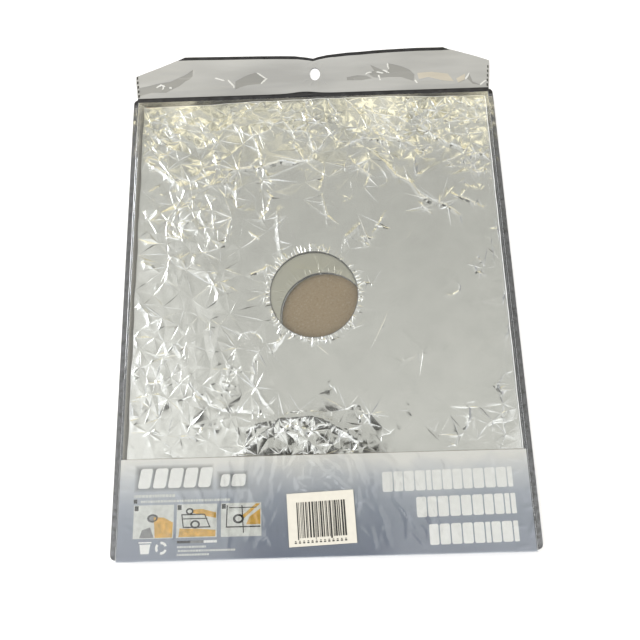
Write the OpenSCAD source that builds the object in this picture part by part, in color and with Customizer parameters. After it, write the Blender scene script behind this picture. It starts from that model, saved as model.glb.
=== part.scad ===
// Hob protector foil in a hang pack.
// A pouch of two welded films lies on its dark back film, with its header
// flap towards +Y and its clear front film up. Inside, a printed board is
// folded into a U around a foil sheet that is folded in quarters.
// Origin: middle of the outline, on the plane the pack lies on.

/* [Pouch] */
// Width of the pouch over its side welds
pouch_w = 268; // [264:1:320]
// Height of the pouch, from its bottom edge to the header crease
pouch_h = 320; // [319:1:360]
// Thickness of each film
film_t = 0.3; // [0.3:0.05:0.35]
// Width of the flange where the front film meets the back film
flange_w = 3.1; // [2:0.1:3.4]
// Radius of the pouch's corners
corner_r = 3; // [1:0.5:5]
// Height of the mouth left open between the front film and the crease
mouth_h = 5; // [3:0.5:6]

/* [Header] */
// Width of the header flap
header_w = 263; // [200:1:268]
// Height of the header flap above the crease
header_h = 37; // [32:1:50]
// Height of the header's straight sides, below its cut corners
header_side_h = 20; // [12:1:24]
// How much farther out the header's side corners stand than its base, on each side
header_flare = 2.5; // [0:0.5:2.5]
// How far in the cut corners run along the top edge
corner_run = 34; // [10:0.5:60]
// Strip of backing film left bare along the top edge
bare_top = 3; // [1:0.5:5]
// Diameter of the hang hole
hang_d = 8; // [6:0.5:10]
// Hang hole's distance to the side of the middle
hang_x = 2; // [-5:0.5:5]
// Hang hole's height above the crease
hang_up = 16.5; // [14:0.5:22]
// Radius of the pressed ridge that the header folds along
crease_r = 0.3; // [0.2:0.05:0.3]
// Weld marks on each side of the header
mark_count = 5; // [2:1:5]

/* [Insert board] */
// Width of the board
card_w = 255; // [253:1:256]
// Height of the back panel
card_h = 312; // [300:1:313]
// Height of the printed flap folded over the front
flap_h = 60; // [30:1:90]
// Thickness of the board
board_t = 0.6; // [0.3:0.05:0.6]

/* [Foil sheet] */
// Width of the foil sheet laid flat
sheet_w = 500; // [450:1:500]
// Length of the foil sheet laid flat
sheet_l = 600; // [550:1:600]
// Thickness that one crumpled foil layer takes up
foil_t = 0.8; // [0.5:0.05:0.8]
// Gap between neighbouring foil layers
layer_gap = 0.25; // [0.15:0.05:0.3]
// Diameter of the burner holes
burner_d = 59; // [40:1:80]
// Top layer's burner hole, across from the pack's middle line
burner_x = -3; // [-15:0.5:15]
// Top layer's burner hole, up from the pack's bottom edge
burner_up = 165; // [140:1:180]
// Second layer's burner hole, across from the top layer's
burner_shift_x = 7; // [-8:0.5:8]
// Second layer's burner hole, up from the top layer's
burner_shift_y = -15; // [-15:0.5:15]

/* [Barcode label] */
// Width of the paper label
label_w = 41; // [30:1:50]
// Height of the paper label
label_h = 31; // [20:1:35]
// Label's middle, across from the pack's middle line
label_x = -2; // [-60:1:60]
// Label's middle, up from the pack's bottom edge
label_up = 23; // [20:1:40]
// How far the label is turned
label_turn = 2.3; // [-5:0.1:5]

/* [Hidden] */
$fn = 64;

pack_h = pouch_h + header_h;
bottom_y = -pack_h / 2;
crease_y = bottom_y + pouch_h;
mouth_y = crease_y - mouth_h;

// Room around the moving pieces
slip = 0.1;
// Back film stops short of the crease so that the header clears it
crease_room = 0.5;
// Thickness of the melted film between the flange and the back film
weld_t = 0.2;
adhesive_t = 0.2;
adhesive_w = 4;
label_t = 0.15;

// Heights of the stack, from the back film up
header_top = 2 * film_t;
mark_proud = 0.05;
card_z = header_top + mark_proud + slip;
layer_pitch = foil_t + layer_gap;
lowest_foil_z = card_z + board_t + slip;
highest_foil_z = lowest_foil_z + 3 * layer_pitch;
flap_z = highest_foil_z + foil_t + slip;
front_z = flap_z + board_t + slip;
pack_t = front_z + film_t;

// Board
card_y = bottom_y + film_t + 2 * slip;
// Foil panels are a quarter of the sheet, and their folds stand outside
panel_w = sheet_w / 2;
panel_l = sheet_l / 2;
panel_right = card_w / 2 - 2;
panel_left = panel_right - panel_w;
panel_top = card_y + card_h - 1.5;
panel_bottom = panel_top - panel_l;
burner_y = bottom_y + burner_up;

// Weld marks of the header
mark_w = 1;
mark_h = 2.2;
mark_pitch = 3.8;
mark_inset = 0.6;

// ---- Shared shapes ----

// Outline in Y and Z, run along X between two places
module along_x(x0, x1) {
    translate([x0, 0, 0])
        rotate([90, 0, 90])
            linear_extrude(x1 - x0)
                children();
}

// Outline in X and Z, run along Y between two places
module along_y(y0, y1) {
    translate([0, y1, 0])
        rotate([90, 0, 0])
            linear_extrude(y1 - y0)
                children();
}

// Right half of a ring, standing for a sheet turned back on itself
module half_ring(outer_r, inner_r) {
    difference() {
        circle(outer_r);
        circle(inner_r);
        translate([-2 * outer_r, -outer_r - 1])
            square([2 * outer_r, 2 * outer_r + 2]);
    }
}

// ---- Pouch ----

module back_film() {
    w = pouch_w - 2 * corner_r;
    top_y = crease_y - crease_room;
    color("dimgray")
        linear_extrude(film_t)
            union() {
                translate([-w / 2, bottom_y])
                    square([w, top_y - bottom_y]);
                translate([-pouch_w / 2, bottom_y + corner_r])
                    square([pouch_w, top_y - bottom_y - 2 * corner_r]);
                for (sx = [-1, 1], y = [bottom_y + corner_r, top_y - corner_r])
                    translate([sx * w / 2, y])
                        circle(corner_r);
            }
}

// Cross-section of the front film's tray, as a solid hat
module tray_section(foot_w, top_w, low_z, high_z, brim_z) {
    polygon([
        [-pouch_w / 2, low_z], [-pouch_w / 2, brim_z],
        [-foot_w / 2, brim_z], [-top_w / 2, high_z],
        [top_w / 2, high_z], [foot_w / 2, brim_z],
        [pouch_w / 2, brim_z], [pouch_w / 2, low_z]
    ]);
}

module front_film() {
    low_z = film_t + weld_t;
    foot_w = pouch_w - 2 * flange_w;
    inner_top_w = card_w + 8 * slip;
    outer_top_w = inner_top_w + 2 * film_t;
    color("gainsboro", 0.3)
        difference() {
            along_y(bottom_y, mouth_y)
                tray_section(foot_w, outer_top_w, low_z, pack_t, low_z + film_t);
            along_y(bottom_y + film_t, mouth_y + 1)
                polygon([
                    [-foot_w / 2 + film_t, low_z - 1],
                    [-foot_w / 2 + film_t, low_z],
                    [-inner_top_w / 2, front_z], [inner_top_w / 2, front_z],
                    [foot_w / 2 - film_t, low_z],
                    [foot_w / 2 - film_t, low_z - 1]
                ]);
            for (sx = [-1, 1])
                translate([sx * pouch_w / 2, bottom_y, 0])
                    cylinder(h = 2 * low_z + film_t, r = corner_r, $fn = 4);
        }
}

// Melted seam between the two films along one side
module side_weld(side) {
    weld_w = flange_w - film_t;
    x0 = side > 0 ? pouch_w / 2 - weld_w : -pouch_w / 2;
    color("darkgray")
        translate([x0, bottom_y + corner_r, film_t])
            cube([weld_w, mouth_y - bottom_y - corner_r, weld_t]);
}

module left_side_weld() {
    side_weld(-1);
}

module right_side_weld() {
    side_weld(1);
}

// Trim seal bead under the front film's bottom wall
module bottom_weld() {
    bead_w = film_t + slip;
    color("darkgray")
        translate([-pouch_w / 2 + corner_r, bottom_y, film_t])
            cube([pouch_w - 2 * corner_r, bead_w, weld_t]);
}

// Closing glue line across the mouth, on the back film
module adhesive_strip() {
    color("gray")
        translate([-card_w / 2, crease_y - crease_room - adhesive_w, film_t])
            cube([card_w, adhesive_w, adhesive_t]);
}

module barcode_label() {
    color("ivory")
        translate([label_x, bottom_y + label_up, pack_t])
            rotate(label_turn)
                translate([-label_w / 2, -label_h / 2, 0])
                    cube([label_w, label_h, label_t]);
}

// ---- Header ----

// Flap outline above the crease, with cut corners, closed at a given height
module header_outline(top_h) {
    half_w = header_w / 2;
    corner_w = half_w + header_flare;
    slope = corner_run / (header_h - header_side_h);
    top_half_w = corner_w - (top_h - header_side_h) * slope;
    polygon([
        [-half_w, crease_r], [half_w, crease_r],
        [corner_w, header_side_h], [top_half_w, top_h],
        [-top_half_w, top_h], [-corner_w, header_side_h]
    ]);
}

module hang_hole() {
    translate([hang_x, crease_y + hang_up, -1])
        cylinder(h = header_top + 2, d = hang_d);
}

module header_backing() {
    color("dimgray")
        difference() {
            translate([0, crease_y, 0])
                linear_extrude(film_t)
                    header_outline(header_h);
            hang_hole();
        }
}

// Row of weld marks along one side of the header, run between two heights
module weld_marks(side, low_z, high_z) {
    for (i = [0 : mark_count - 1]) {
        up = 1.5 + i * mark_pitch;
        edge = header_w / 2 + header_flare * up / header_side_h;
        middle = edge - mark_inset - mark_w / 2;
        translate([side * middle - mark_w / 2, crease_y + up, low_z])
            cube([mark_w, mark_h, high_z - low_z]);
    }
}

module header_strip() {
    color("silver", 0.7)
        difference() {
            translate([0, crease_y, film_t])
                linear_extrude(film_t)
                    header_outline(header_h - bare_top);
            hang_hole();
            for (side = [-1, 1])
                weld_marks(side, film_t - 1, header_top + 1);
        }
}

module header_left_weld() {
    color("black")
        weld_marks(-1, film_t, header_top + mark_proud);
}

module header_right_weld() {
    color("black")
        weld_marks(1, film_t, header_top + mark_proud);
}

// Half-round ridge centred on the fold line, the header's turning axis
module header_crease() {
    color("dimgray")
        along_x(-header_w / 2, header_w / 2)
            translate([crease_y, 0])
                difference() {
                    circle(crease_r);
                    translate([-2 * crease_r, -4 * crease_r])
                        square(4 * crease_r);
                }
}

// ---- Insert board ----

module insert_card() {
    color("lightsteelblue")
        along_x(-card_w / 2, card_w / 2)
            translate([card_y, 0]) {
                translate([0, card_z])
                    square([card_h, board_t]);
                translate([0, card_z])
                    square([board_t, flap_z + board_t - card_z]);
                translate([0, flap_z])
                    square([flap_h, board_t]);
            }
}

// ---- Foil sheet, folded in quarters ----

function layer_z(n) = highest_foil_z - (n - 1) * layer_pitch;

// Middle of the burner hole in a layer, counted from the top one
function burner_place(n) =
    n == 1 ? [burner_x, burner_y] :
    n == 2 ? [burner_x + burner_shift_x, burner_y + burner_shift_y] :
    n == 3 ? burner_place(2) + [0.8, -0.5] :
    burner_place(1) + [1, -1];

module foil_layer(n) {
    color(n % 2 == 1 ? "silver" : "darkgray")
        difference() {
            translate([panel_left, panel_bottom, layer_z(n)])
                cube([panel_w, panel_l, foil_t]);
            translate([burner_place(n)[0], burner_place(n)[1], layer_z(n) - 1])
                cylinder(h = foil_t + 2, d = burner_d);
        }
}

module foil_layer_1() {
    foil_layer(1);
}

module foil_layer_2() {
    foil_layer(2);
}

module foil_layer_3() {
    foil_layer(3);
}

module foil_layer_4() {
    foil_layer(4);
}

// Bend along the panels' top edge that joins a layer to the one under it
module end_fold(upper) {
    middle_z = layer_z(upper) - layer_gap / 2;
    color("silver")
        along_x(panel_left, panel_right)
            translate([panel_top, middle_z])
                half_ring(foil_t + layer_gap / 2, layer_gap / 2);
}

module foil_end_fold_upper() {
    end_fold(1);
}

module foil_end_fold_lower() {
    end_fold(3);
}

// Bend along the panels' right edge, around the middle of the stack
module side_fold(inner_r) {
    middle_z = layer_z(2) - layer_gap / 2;
    color("silver")
        along_y(panel_bottom, panel_top)
            translate([panel_right, middle_z])
                half_ring(inner_r + foil_t, inner_r);
}

module foil_side_fold_inner() {
    side_fold(layer_gap / 2);
}

module foil_side_fold_outer() {
    side_fold(foil_t + 1.5 * layer_gap);
}

back_film();
front_film();
left_side_weld();
right_side_weld();
bottom_weld();
adhesive_strip();
barcode_label();
header_backing();
header_strip();
header_left_weld();
header_right_weld();
header_crease();
insert_card();
foil_layer_1();
foil_layer_2();
foil_layer_3();
foil_layer_4();
foil_end_fold_upper();
foil_end_fold_lower();
foil_side_fold_inner();
foil_side_fold_outer();
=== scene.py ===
"""Looks of the hob protector foil pack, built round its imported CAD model."""
import math

import bpy
import numpy as np
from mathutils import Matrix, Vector
from mathutils.bvhtree import BVHTree
from mathutils.geometry import delaunay_2d_cdt


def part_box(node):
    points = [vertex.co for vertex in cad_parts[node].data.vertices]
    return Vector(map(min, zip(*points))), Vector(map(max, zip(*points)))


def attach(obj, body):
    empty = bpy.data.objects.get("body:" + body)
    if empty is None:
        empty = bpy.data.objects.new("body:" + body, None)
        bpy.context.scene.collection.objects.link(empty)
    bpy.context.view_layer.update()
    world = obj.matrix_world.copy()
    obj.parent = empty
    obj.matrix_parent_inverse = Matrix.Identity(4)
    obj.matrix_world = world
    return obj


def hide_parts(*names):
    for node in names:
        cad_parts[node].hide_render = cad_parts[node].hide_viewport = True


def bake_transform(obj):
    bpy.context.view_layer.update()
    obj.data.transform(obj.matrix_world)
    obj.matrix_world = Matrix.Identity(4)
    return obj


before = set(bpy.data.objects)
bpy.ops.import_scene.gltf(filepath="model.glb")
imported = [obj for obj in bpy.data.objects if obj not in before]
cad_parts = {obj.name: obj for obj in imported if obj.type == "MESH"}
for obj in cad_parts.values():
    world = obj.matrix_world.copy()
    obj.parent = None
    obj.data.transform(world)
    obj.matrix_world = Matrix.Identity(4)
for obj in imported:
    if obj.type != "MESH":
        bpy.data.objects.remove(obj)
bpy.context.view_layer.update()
MM = 0.001


# ---------------------------------------------------------------- places

class Box:
    """A CAD node's box at rest, in millimetres."""

    def __init__(self, node):
        low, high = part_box(node)
        self.x0, self.y0, self.z0 = (c / MM for c in low)
        self.x1, self.y1, self.z1 = (c / MM for c in high)
        self.cx = (self.x0 + self.x1) / 2
        self.cy = (self.y0 + self.y1) / 2
        self.cz = (self.z0 + self.z1) / 2


BACK = Box("back_film")
FRONT = Box("front_film")
BACKING = Box("header_backing")
STRIP = Box("header_strip")
CREASE = Box("header_crease")
CARD = Box("insert_card")
LABEL = Box("barcode_label")
LAYERS = [Box(f"foil_layer_{n}") for n in (1, 2, 3, 4)]
FOIL = LAYERS[0]

CREASE_Y = CREASE.cy
FLAP_H = 60.0
FLAP_TOP_Y = CARD.y0 + FLAP_H
BURNER_R = 29.5
BURNER = (-3.0, -13.5)
BURNER_LOWER = (4.0, -28.5)
HANG_R = 4.0
HANG = (2.0, CREASE_Y + 16.5)

# Thicknesses of the visual pieces, which are thinner than the CAD's
FOIL_T = 0.08
BOARD_T = 0.51
FRONT_T = 0.05
STRIP_T = 0.05
BACK_T = 0.12
LABEL_T = 0.1


# ---------------------------------------------------------------- meshes

def make_object(name, verts, faces, materials, face_materials=None, sharp=None):
    """A smooth-shaded object from points in millimetres. Edges over sharp degrees stay sharp."""
    mesh = bpy.data.meshes.new(name)
    verts = np.asarray(verts, float) * MM
    mesh.from_pydata(verts.tolist(), [], [tuple(int(i) for i in f) for f in faces])
    mesh.validate()
    for material in materials:
        mesh.materials.append(material)
    if face_materials is not None:
        mesh.polygons.foreach_set("material_index", np.asarray(face_materials, np.int32))
    mesh.shade_smooth()
    if sharp is not None:
        mesh.set_sharp_from_angle(angle=math.radians(sharp))
    mesh.update()
    return add_to_scene(name, mesh)


def add_to_scene(name, data):
    added = bpy.data.objects.new(name, data)
    bpy.context.scene.collection.objects.link(added)
    return added


def boundary_edges(faces):
    """Directed edges that only one face uses."""
    used = {edge: True for face in faces for edge in zip(face, (*face[1:], face[0]))}
    return [e for e in used if (e[1], e[0]) not in used]


def shell(top, faces, thickness, under=None):
    """Closes a sheet into a thin solid: points, faces, and 0, 1 or 2 for each top, under or rim face."""
    top = np.asarray(top, float)
    under = top - [0, 0, thickness] if under is None else under
    n = len(top)
    faces = [tuple(f) for f in faces]
    points = np.concatenate([top, under])
    below = [tuple(i + n for i in reversed(f)) for f in faces]
    rim = [(b, a, a + n, b + n) for a, b in boundary_edges(faces)]
    sides = [0] * len(faces) + [1] * len(below) + [2] * len(rim)
    return points, faces + below + rim, sides


def grid_faces(rows, columns):
    """Quads of a grid of points stored row after row: they face up if rows run along Y."""
    return [
        (r * columns + c, r * columns + c + 1, (r + 1) * columns + c + 1, (r + 1) * columns + c)
        for r in range(rows - 1)
        for c in range(columns - 1)
    ]


def grid_points(xs, ys):
    """Points of a grid, row after row."""
    x, y = np.meshgrid(xs, ys)
    return np.column_stack([x.ravel(), y.ravel()])


def heading_step(heading):
    """A step of length 1 in a direction in radians."""
    return np.array([math.cos(heading), math.sin(heading)])


def smoothstep(x, low, high):
    t = np.clip((x - low) / (high - low), 0, 1)
    return t * t * (3 - 2 * t)


def waves(points, seed, wavelength, count=7):
    """Soft random undulation of about -1 to 1."""
    rng = np.random.default_rng(seed)
    total = np.zeros(len(points))
    for _ in range(count):
        angle, phase = rng.uniform(0, 2 * math.pi, 2)
        along = points[:, 0] * math.cos(angle) + points[:, 1] * math.sin(angle)
        total += np.sin(2 * math.pi * along / (wavelength * rng.uniform(0.7, 1.5)) + phase)
    return total / math.sqrt(count)


def folded(points, seed, wavelength, warp, stretch=(1, 1)):
    """0 to 1: a wandering net of sharp crests."""
    place = points * np.asarray(stretch)
    bend = np.column_stack([waves(place, seed + n, 2.2 * wavelength) for n in (1, 2)])
    return 1 - np.clip(1.2 * np.abs(waves(place + warp * bend, seed, wavelength, 5)), 0, 1)


def ridge(points, line, width, blunt=0.0):
    """0 to 1: a sharp crest along a polyline, with flanks of a given width and tapered ends."""
    line = np.asarray(line, float)
    steps = np.linalg.norm(np.diff(line, axis=0), axis=1)
    whole = steps.sum()
    low, high = line.min(0) - width, line.max(0) + width
    near = np.flatnonzero(((points > low) & (points < high)).all(1))
    result = np.zeros(len(points))
    if len(near) == 0 or whole == 0:
        return result
    here = points[near]
    best = np.zeros(len(near))
    at = 0.0
    for a, b, step in zip(line[:-1], line[1:], steps):
        t = np.clip((here - a) @ (b - a) / step ** 2, 0, 1)
        away = np.linalg.norm(here - a - t[:, None] * (b - a), axis=1)
        along = np.clip((at + t * step) / whole, 0, 1)
        taper = np.sqrt(np.clip(np.sin(math.pi * along), 0, 1))
        rise = np.clip(1 - away / width, 0, 1)
        best = np.maximum(best, taper * (rise * rise * (3 - 2 * rise) * blunt + rise * (1 - blunt)))
        at += step
    result[near] = best
    return result


def wiggle(line, rng, step, sway):
    """The same polyline with more points, each a little off the straight."""
    line = np.asarray(line, float)
    out = [line[0]]
    for a, b in zip(line[:-1], line[1:]):
        length = np.linalg.norm(b - a)
        count = max(1, int(length / step))
        side = np.array([-(b - a)[1], (b - a)[0]]) / max(length, 1e-6)
        for i in range(1, count + 1):
            shift = rng.uniform(-sway, sway) if i < count else 0.0
            out.append(a + (b - a) * i / count + side * shift)
    return np.array(out)


def sideways(line):
    """Steps of length 1 to the left of a polyline, one for each of its points."""
    steps = np.gradient(line, axis=0)
    aside = np.stack([-steps[:, 1], steps[:, 0]], 1)
    return aside / np.maximum(np.linalg.norm(aside, axis=1, keepdims=True), 1e-6)


class Drawing:
    """Points and the edges between them, collected for triangulate."""

    def __init__(self):
        self.points = []
        self.edges = []

    def add_line(self, line, closed=False):
        start = len(self.points)
        self.points.extend(np.asarray(line).tolist())
        last = len(self.points) - 1
        self.edges.extend((i, i + 1) for i in range(start, last))
        if closed:
            self.edges.append((last, start))


# ---------------------------------------------------------------- materials

class Nodes:
    """Short ways to add and join the nodes of a material or of the world."""

    def __init__(self, tree):
        self.tree = tree

    def feed(self, node, inputs):
        """Joins other nodes' outputs to a node's inputs, or sets the inputs' own values."""
        for key, value in inputs.items():
            if isinstance(value, bpy.types.NodeSocket):
                self.tree.links.new(value, node.inputs[key])
            else:
                node.inputs[key].default_value = value

    def add(self, kind, inputs, **settings):
        node = self.tree.nodes.new("ShaderNode" + kind)
        for key, value in settings.items():
            setattr(node, key, value)
        self.feed(node, inputs)
        return node

    def math(self, operation, a, b=None, clamp=False):
        inputs = {0: a} if b is None else {0: a, 1: b}
        return self.add("Math", inputs, operation=operation, use_clamp=clamp).outputs[0]

    def times(self, a, b):
        return self.math("MULTIPLY", a, b)

    def away(self, value, middle):
        """The distance between a value and a middle."""
        return self.math("ABSOLUTE", self.math("SUBTRACT", value, middle))

    def place(self):
        """The point's place in the row frame, in metres."""
        return self.add("TexCoord", {}).outputs["Object"]

    def axes(self, place):
        parts = self.add("SeparateXYZ", {0: place})
        return [parts.outputs[axis] for axis in "XYZ"]

    def noise(self, per_m, detail=3.0, rough=0.5, place=None, stretch=None):
        place = place or self.place()
        if stretch:
            place = self.add("Mapping", {"Vector": place, "Scale": stretch}).outputs["Vector"]
        inputs = {"Vector": place, "Scale": per_m, "Detail": detail, "Roughness": rough}
        return self.add("TexNoise", inputs).outputs["Fac"]

    def ramp(self, value, stops):
        """Colours along 0 to 1: stops is a list of (place, (r, g, b))."""
        ramp = self.add("ValToRGB", {"Fac": value})
        elements = ramp.color_ramp.elements
        while len(elements) < len(stops):
            elements.new(0.5)
        for element, (place, colour) in zip(elements, stops):
            element.position = place
            element.color = (*colour, 1)
        return ramp.outputs["Color"]

    def remap(self, value, low, high, new_low, new_high):
        inputs = {
            "Value": value, "From Min": low, "From Max": high, "To Min": new_low, "To Max": new_high
        }
        return self.add("MapRange", inputs).outputs["Result"]

    def spread(self, noise, low, high):
        """Noise, which stays mostly between 0.3 and 0.7, spread from low to high."""
        return self.remap(noise, 0.3, 0.7, low, high)

    def mix(self, share, first, second, mode="MIX"):
        inputs = {"Factor": share, "A": first, "B": second}
        for key, colour in inputs.items():
            if isinstance(colour, tuple):
                inputs[key] = (*colour, 1)
        return self.add("Mix", inputs, data_type="RGBA", blend_type=mode).outputs["Result"]


class Look(Nodes):
    """A new material with its principled shader."""

    def __init__(self, name):
        self.material = bpy.data.materials.new(name)
        self.material.use_nodes = True
        super().__init__(self.material.node_tree)
        self.shader = self.tree.nodes["Principled BSDF"]
        self.output = self.tree.nodes["Material Output"]

    def paint(self, colour, rough, **others):
        """Sets the shader's colour and roughness, and other inputs by name with _ for each space."""
        inputs = {"Base Color": colour, "Roughness": rough}
        inputs.update({key.replace("_", " "): value for key, value in others.items()})
        self.feed(self.shader, inputs)

    def bump(self, height, strength, distance_mm):
        inputs = {"Height": height, "Strength": strength, "Distance": distance_mm * MM}
        self.feed(self.shader, {"Normal": self.add("Bump", inputs).outputs["Normal"]})


def foil_material(name, colour, rough, rough_spread):
    look = Look(name)
    dark = tuple(c * 0.94 for c in colour)
    look.paint(
        look.ramp(look.noise(60, 2), [(0.3, dark), (0.7, colour)]),
        look.spread(look.noise(350, 3), rough - rough_spread, rough + rough_spread),
        Metallic=1.0,
    )
    look.bump(look.noise(260, 4, 0.6), 0.25, 0.12)
    return look.material


def film_material(name, rough, share_head_on, share_edge):
    """Clear film: what is behind it shows, under a thin mirror that grows at grazing angles."""
    look = Look(name)
    rough = look.spread(look.noise(90, 3), rough * 0.7, rough * 1.4)
    look.paint((0.97, 0.98, 1.0, 1), rough, Metallic=1.0)
    facing = look.add("Fresnel", {"IOR": 1.5})
    gloss = look.remap(facing.outputs[0], 0.04, 1.0, share_head_on, share_edge)
    clear = look.add("BsdfTransparent", {"Color": (0.985, 0.988, 0.99, 1)})
    mix = look.add("MixShader", {"Fac": gloss, 1: clear.outputs[0], 2: look.shader.outputs[0]})
    look.feed(look.output, {"Surface": mix.outputs[0]})
    look.bump(look.noise(420, 3), 0.12, 0.1)
    return look.material


def plastic_material(
    name, colour, light, rough, bump_mm=0.05, per_m=500, stretch=None, specular=0.5
):
    """Matte or satin plastic with cloudy colour, from colour to light."""
    look = Look(name)
    cloud = look.noise(per_m * 0.3, 4, 0.6, stretch=stretch)
    look.paint(
        look.ramp(cloud, [(0.3, colour), (0.72, light)]),
        look.spread(cloud, rough * 0.75, rough * 1.3),
        Specular_IOR_Level=specular,
    )
    look.bump(look.noise(per_m, 4, 0.6, stretch=stretch), 0.5, bump_mm)
    return look.material


def frosted_material(name, colour, light, rough):
    """Header film: pale, cloudy and drawn out along the header."""
    look = Look(name)
    cloud = look.noise(34, 3, 0.5, stretch=(0.3, 1.6, 1))
    look.paint(
        look.ramp(cloud, [(0.32, colour), (0.68, light)]),
        look.spread(cloud, rough * 0.8, rough * 1.3),
    )
    look.bump(look.noise(110, 3, 0.5, stretch=(0.5, 1.6, 1)), 0.3, 0.4)
    return look.material


def printed_board_material():
    """Outside of the board: pale at the flap's top edge, slate blue at the fold."""
    look = Look("printed_board")
    x, y, _ = look.axes(look.place())
    cloud = look.spread(look.noise(45, 3), -0.07, 0.07)
    height = look.remap(y, CARD.y0 * MM, FLAP_TOP_Y * MM, 0, 1)
    level = look.math("ADD", height, cloud, clamp=True)
    base = look.ramp(level, [
        (0.0, (0.28, 0.31, 0.385)),
        (0.3, (0.325, 0.36, 0.43)),
        (0.55, (0.42, 0.455, 0.52)),
        (0.78, (0.64, 0.66, 0.69)),
        (0.97, (0.88, 0.87, 0.84)),
    ])
    colour = look.mix(block_shadow(look, x, y), base, (0.36, 0.36, 0.36), "MULTIPLY")
    look.paint(colour, 0.45, Specular_IOR_Level=0.2)
    look.bump(look.noise(900, 2), 0.15, 0.03)
    return look.material


def block_shadow(look, x, y):
    """0 to 1: the soft printed shadow round the row of slanted blocks."""
    total = None
    for left, width, height in SIZE_BLOCKS:
        aside = look.away(x, (left + width / 2) * MM)
        above = look.away(y, (SIZE_ROW_Y + height / 2) * MM)
        outside = look.math(
            "MAXIMUM",
            look.math("SUBTRACT", aside, width / 2 * MM),
            look.math("SUBTRACT", above, height / 2 * MM),
        )
        here = look.remap(outside, -1.0 * MM, 2.4 * MM, 1, 0)
        total = here if total is None else look.math("MAXIMUM", total, here)
    return total


def board_material(name, colour, dark, speck):
    """Grey-brown board with fine specks."""
    look = Look(name)
    cloud = look.noise(700, 3, 0.75)
    look.paint(look.ramp(cloud, [(0.3, dark), (0.43, colour), (0.58, colour), (0.7, speck)]), 0.85)
    look.bump(look.noise(1500, 3, 0.6), 0.4, 0.06)
    return look.material


def ink_material(name, colour, spread=0.1, rough=0.42):
    look = Look(name)
    light = tuple(min(1.0, c * (1 + spread)) for c in colour)
    dark = tuple(c * (1 - spread) for c in colour)
    look.paint(look.ramp(look.noise(300, 4, 0.6), [(0.3, dark), (0.7, light)]), rough)
    return look.material


# Slanted blocks in the size row: left edge, width and height, in millimetres
SIZE_ROW_Y = -135.6
SIZE_BLOCKS = [
    (-116.3, 7.6, 11.9), (-106.9, 8.0, 11.9), (-97.5, 8.2, 11.9), (-87.9, 7.8, 11.9),
    (-78.7, 7.8, 11.9), (-64.9, 5.6, 7.4), (-57.9, 8.6, 7.4),
]

SHINY = foil_material("foil_shiny", (0.91, 0.91, 0.89), 0.085, 0.02)
MATTE = foil_material("foil_matte", (0.66, 0.65, 0.57), 0.4, 0.05)
# Painted shade: the foil's cut rims and a thin ring round each burner hole are dark grey, for the shadow
# under the edge
FOIL_EDGE_SHADE = plastic_material("foil_edge_painted_shade", (0.16, 0.16, 0.155), (0.26, 0.26, 0.25), 0.5)
CLEAR = film_material("clear_film", 0.05, 0.07, 0.55)
# Painted shade: the back film is near-black for the shade and dark reflections seen through the clear
# film at the pack's margins and round the header
BACK_FILM_SHADE = plastic_material(
    "dark_film", (0.008, 0.008, 0.01), (0.035, 0.035, 0.04), 0.33, 0.08, 420, (1, 0.5, 1), 0.3
)
FROSTED = frosted_material("frosted_film", (0.36, 0.36, 0.357), (0.46, 0.46, 0.455), 0.2)
CLUNG = frosted_material("clung_film", (0.27, 0.27, 0.262), (0.31, 0.31, 0.302), 0.25)
# Painted reflection: a warm colour for the warm light that the glossy bulges mirror
WARM_REFLECTION_PAINT = frosted_material("film_painted_warm_reflection", (0.4, 0.37, 0.31), (0.6, 0.555, 0.48), 0.12)
# Painted highlight: bright film along the kinks' crests, for glints
GLINT_PAINT = frosted_material("film_painted_glint", (0.66, 0.66, 0.64), (0.78, 0.78, 0.76), 0.15)
MELTED = plastic_material("melted_film", (0.05, 0.05, 0.055), (0.2, 0.2, 0.22), 0.3, 0.12, 900)
MARK = plastic_material("weld_mark", (0.012, 0.012, 0.012), (0.03, 0.03, 0.03), 0.3)
GLUE = plastic_material(
    "adhesive", (0.015, 0.015, 0.018), (0.05, 0.05, 0.055), 0.35, 0.05, specular=0.25
)
PRINTED = printed_board_material()
KRAFT = board_material(
    "brown_board", (0.4, 0.305, 0.19), (0.29, 0.2, 0.105), (0.54, 0.46, 0.34)
)
# The board's cut rims, and its inner face near the left edge painted lighter and greyer as the clear
# film's glare over it: partly painted reflection
BOARD_EDGE_AND_GLARE = board_material("board_edge_and_painted_glare", (0.44, 0.42, 0.375), (0.34, 0.32, 0.28), (0.6, 0.58, 0.53))
WHITE_INK = ink_material("white_ink", (0.94, 0.94, 0.92), 0.04)
PALE_INK = ink_material("pale_ink", (0.74, 0.75, 0.72), 0.12)
GREY_INK = ink_material("grey_ink", (0.25, 0.25, 0.25), 0.3)
BLACK_INK = ink_material("black_ink", (0.02, 0.02, 0.02), 0.3)
ORANGE_INK = ink_material("orange_ink", (0.74, 0.45, 0.08), 0.25)
LABEL_PAPER = ink_material("label_paper", (0.76, 0.73, 0.66), 0.03, 0.6)


# ---------------------------------------------------------------- foil

def triangulate(points, edges):
    """Triangles that keep the given edges: the points, with crossings added, and the triangles."""
    found = delaunay_2d_cdt([Vector(p) for p in points], edges, [], 0, 1e-3, False)
    flat = np.array([v[:] for v in found[0]])
    triangles = np.array(found[2], int)
    a, b, c = (flat[triangles[:, i]] for i in range(3))
    turn = (b - a)[:, 0] * (c - a)[:, 1] - (b - a)[:, 1] * (c - a)[:, 0]
    triangles = triangles[np.abs(turn) > 1e-6]
    turn = turn[np.abs(turn) > 1e-6]
    triangles[turn < 0] = triangles[turn < 0][:, ::-1]
    return flat, triangles


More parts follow.
